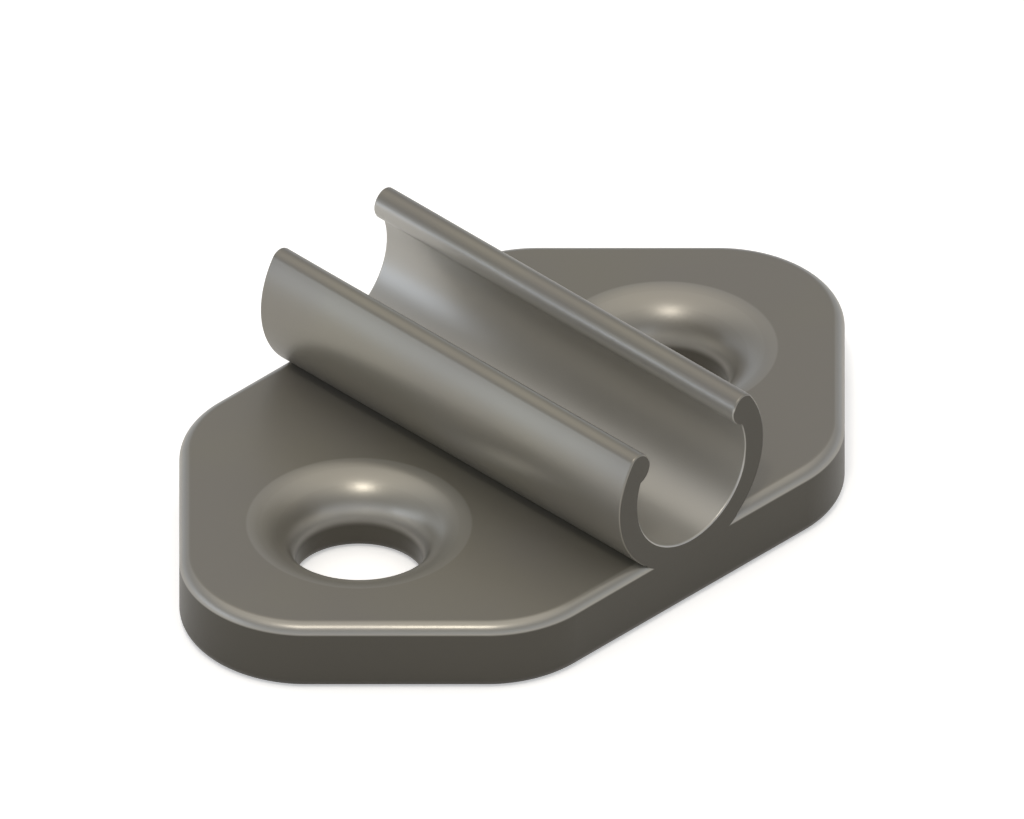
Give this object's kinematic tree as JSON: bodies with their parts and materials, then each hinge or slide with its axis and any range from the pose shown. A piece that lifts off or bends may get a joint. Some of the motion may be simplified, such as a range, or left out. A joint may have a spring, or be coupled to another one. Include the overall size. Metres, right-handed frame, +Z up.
{
  "type": "cable mounting clip",
  "caption": "Flat base plate with rounded corners and bell-mouthed screw holes, carrying an open round channel whose lips hold a cable that is pressed in from above.",
  "frame": {"origin": "centre of the base plate's underside, below the middle of the cable channel", "axes": "+X from screw hole to screw hole, the longest way; +Y along the cable channel; +Z up, out of the plate and through the channel's mouth"},
  "size_m": [0.0328, 0.02, 0.0084],
  "materials": {
    "clip": "satin"
  },
  "bodies": {
    "root": {"clip": "clip"}
  },
  "joints": []
}
